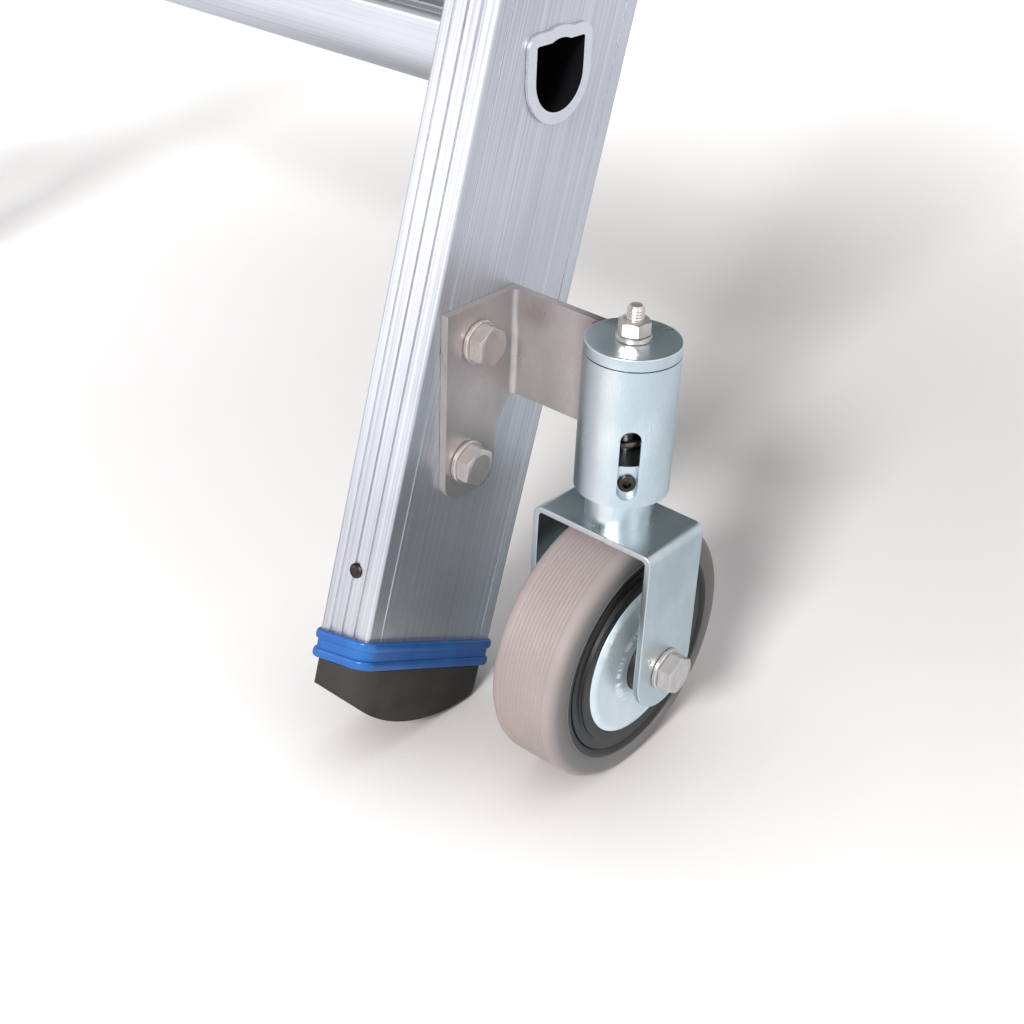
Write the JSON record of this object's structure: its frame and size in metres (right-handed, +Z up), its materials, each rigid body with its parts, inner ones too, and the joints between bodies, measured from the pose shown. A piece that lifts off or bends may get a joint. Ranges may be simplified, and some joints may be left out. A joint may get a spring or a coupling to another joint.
{
  "type": "mobile step ladder",
  "caption": "Double-sided aluminium step ladder with rungs, hinged at the top, that rolls on sprung castors until its feet take the load.",
  "frame": {"origin": "on the floor, in the middle of the ladder's footprint, under the hinge", "axes": "+X along the rungs to the right seen from the front, +Y from the front frame to the rear one, +Z up"},
  "size_m": [0.6732, 1.3382, 2.0633],
  "materials": {
    "stile_alu": "extruded, fine lengthwise lines",
    "rung_alu": "extruded, grooved tread",
    "collar_blue": "moulded, satin",
    "sole_black": "moulded rubber",
    "cap_black": "moulded, matte",
    "hinge_zinc": "zinc plated",
    "lug_cast": "sand-cast, lightly blasted",
    "fastener_zinc": "zinc plated",
    "rivet_alu": "plain",
    "webbing": "woven polyester webbing",
    "bracket_zinc": "zinc plated, warm",
    "housing_zinc": "zinc plated, bright",
    "fork_zinc": "zinc plated",
    "spring_steel": "oiled spring steel",
    "tyre_grey": "grey non-marking rubber",
    "rim_dark": "moulded, satin",
    "disc_zinc": "pressed, zinc plated"
  },
  "bodies": {
    "front_frame": {"stile_front_right": "stile_alu", "stile_front_left": "stile_alu", "rungs_front": "rung_alu", "foot_collars_front": "collar_blue", "foot_soles_front": "sole_black", "frame_rivets_front": "rivet_alu", "bracket_bolts_front": "fastener_zinc", "housing_caps_front": "housing_zinc", "top_caps_front": "cap_black", "hinge_plates_front": "hinge_zinc", "hinge_bolts": "fastener_zinc", "stay_strap_right": "webbing", "stay_strap_left": "webbing", "castor_bracket_front_right": "bracket_zinc", "spring_housing_front_right": "housing_zinc", "castor_bracket_front_left": "bracket_zinc", "spring_housing_front_left": "housing_zinc"},
    "rear_frame": {"stile_rear_right": "stile_alu", "stile_rear_left": "stile_alu", "rungs_rear": "rung_alu", "foot_collars_rear": "collar_blue", "foot_soles_rear": "sole_black", "frame_rivets_rear": "rivet_alu", "bracket_bolts_rear": "fastener_zinc", "housing_caps_rear": "housing_zinc", "hinge_lugs_rear": "lug_cast", "castor_bracket_rear_right": "bracket_zinc", "spring_housing_rear_right": "housing_zinc", "castor_bracket_rear_left": "bracket_zinc", "spring_housing_rear_left": "housing_zinc"},
    "castor_front_right": {"wheel_fork_front_right": "fork_zinc", "plunger_front_right": "housing_zinc", "castor_spring_front_right": "spring_steel", "castor_fasteners_front_right": "fastener_zinc"},
    "wheel_front_right": {"tyre_front_right": "tyre_grey", "wheel_rim_front_right": "rim_dark", "hub_discs_front_right": "disc_zinc"},
    "castor_front_left": {"wheel_fork_front_left": "fork_zinc", "plunger_front_left": "housing_zinc", "castor_spring_front_left": "spring_steel", "castor_fasteners_front_left": "fastener_zinc"},
    "wheel_front_left": {"tyre_front_left": "tyre_grey", "wheel_rim_front_left": "rim_dark", "hub_discs_front_left": "disc_zinc"},
    "castor_rear_right": {"wheel_fork_rear_right": "fork_zinc", "plunger_rear_right": "housing_zinc", "castor_spring_rear_right": "spring_steel", "castor_fasteners_rear_right": "fastener_zinc"},
    "wheel_rear_right": {"tyre_rear_right": "tyre_grey", "wheel_rim_rear_right": "rim_dark", "hub_discs_rear_right": "disc_zinc"},
    "castor_rear_left": {"wheel_fork_rear_left": "fork_zinc", "plunger_rear_left": "housing_zinc", "castor_spring_rear_left": "spring_steel", "castor_fasteners_rear_left": "fastener_zinc"},
    "wheel_rear_left": {"tyre_rear_left": "tyre_grey", "wheel_rim_rear_left": "rim_dark", "hub_discs_rear_left": "disc_zinc"}
  },
  "joints": [
    {"name": "fold", "type": "hinge", "parent": "front_frame", "child": "rear_frame", "pos_m": [0, 0, 2.015], "axis": [-1, 0, 0], "range_deg": [0, 30.5], "deforming": ["stay_strap_right", "stay_strap_left"]},
    {"name": "spring_front_right", "type": "slide", "parent": "front_frame", "child": "castor_front_right", "axis": [0, 0, 1], "range_m": [0, 0.012], "stiffness_N_per_m": 9400, "springref_m": -0.008, "deforming": ["castor_spring_front_right"]},
    {"name": "spring_front_left", "type": "slide", "parent": "front_frame", "child": "castor_front_left", "axis": [0, 0, 1], "range_m": [0, 0.012], "stiffness_N_per_m": 9400, "springref_m": -0.008, "deforming": ["castor_spring_front_left"]},
    {"name": "spring_rear_right", "type": "slide", "parent": "rear_frame", "child": "castor_rear_right", "axis": [0, 0, 1], "range_m": [0, 0.012], "stiffness_N_per_m": 9400, "springref_m": -0.008, "deforming": ["castor_spring_rear_right"]},
    {"name": "spring_rear_left", "type": "slide", "parent": "rear_frame", "child": "castor_rear_left", "axis": [0, 0, 1], "range_m": [0, 0.012], "stiffness_N_per_m": 9400, "springref_m": -0.008, "deforming": ["castor_spring_rear_left"]},
    {"name": "roll_front_right", "type": "hinge", "parent": "castor_front_right", "child": "wheel_front_right", "pos_m": [0.304, -0.59263, 0.05], "axis": [1, 0, 0], "continuous": true},
    {"name": "roll_front_left", "type": "hinge", "parent": "castor_front_left", "child": "wheel_front_left", "pos_m": [-0.304, -0.59263, 0.05], "axis": [1, 0, 0], "continuous": true},
    {"name": "roll_rear_right", "type": "hinge", "parent": "castor_rear_right", "child": "wheel_rear_right", "pos_m": [0.304, 0.59263, 0.05], "axis": [1, 0, 0], "continuous": true},
    {"name": "roll_rear_left", "type": "hinge", "parent": "castor_rear_left", "child": "wheel_rear_left", "pos_m": [-0.304, 0.59263, 0.05], "axis": [1, 0, 0], "continuous": true}
  ]
}
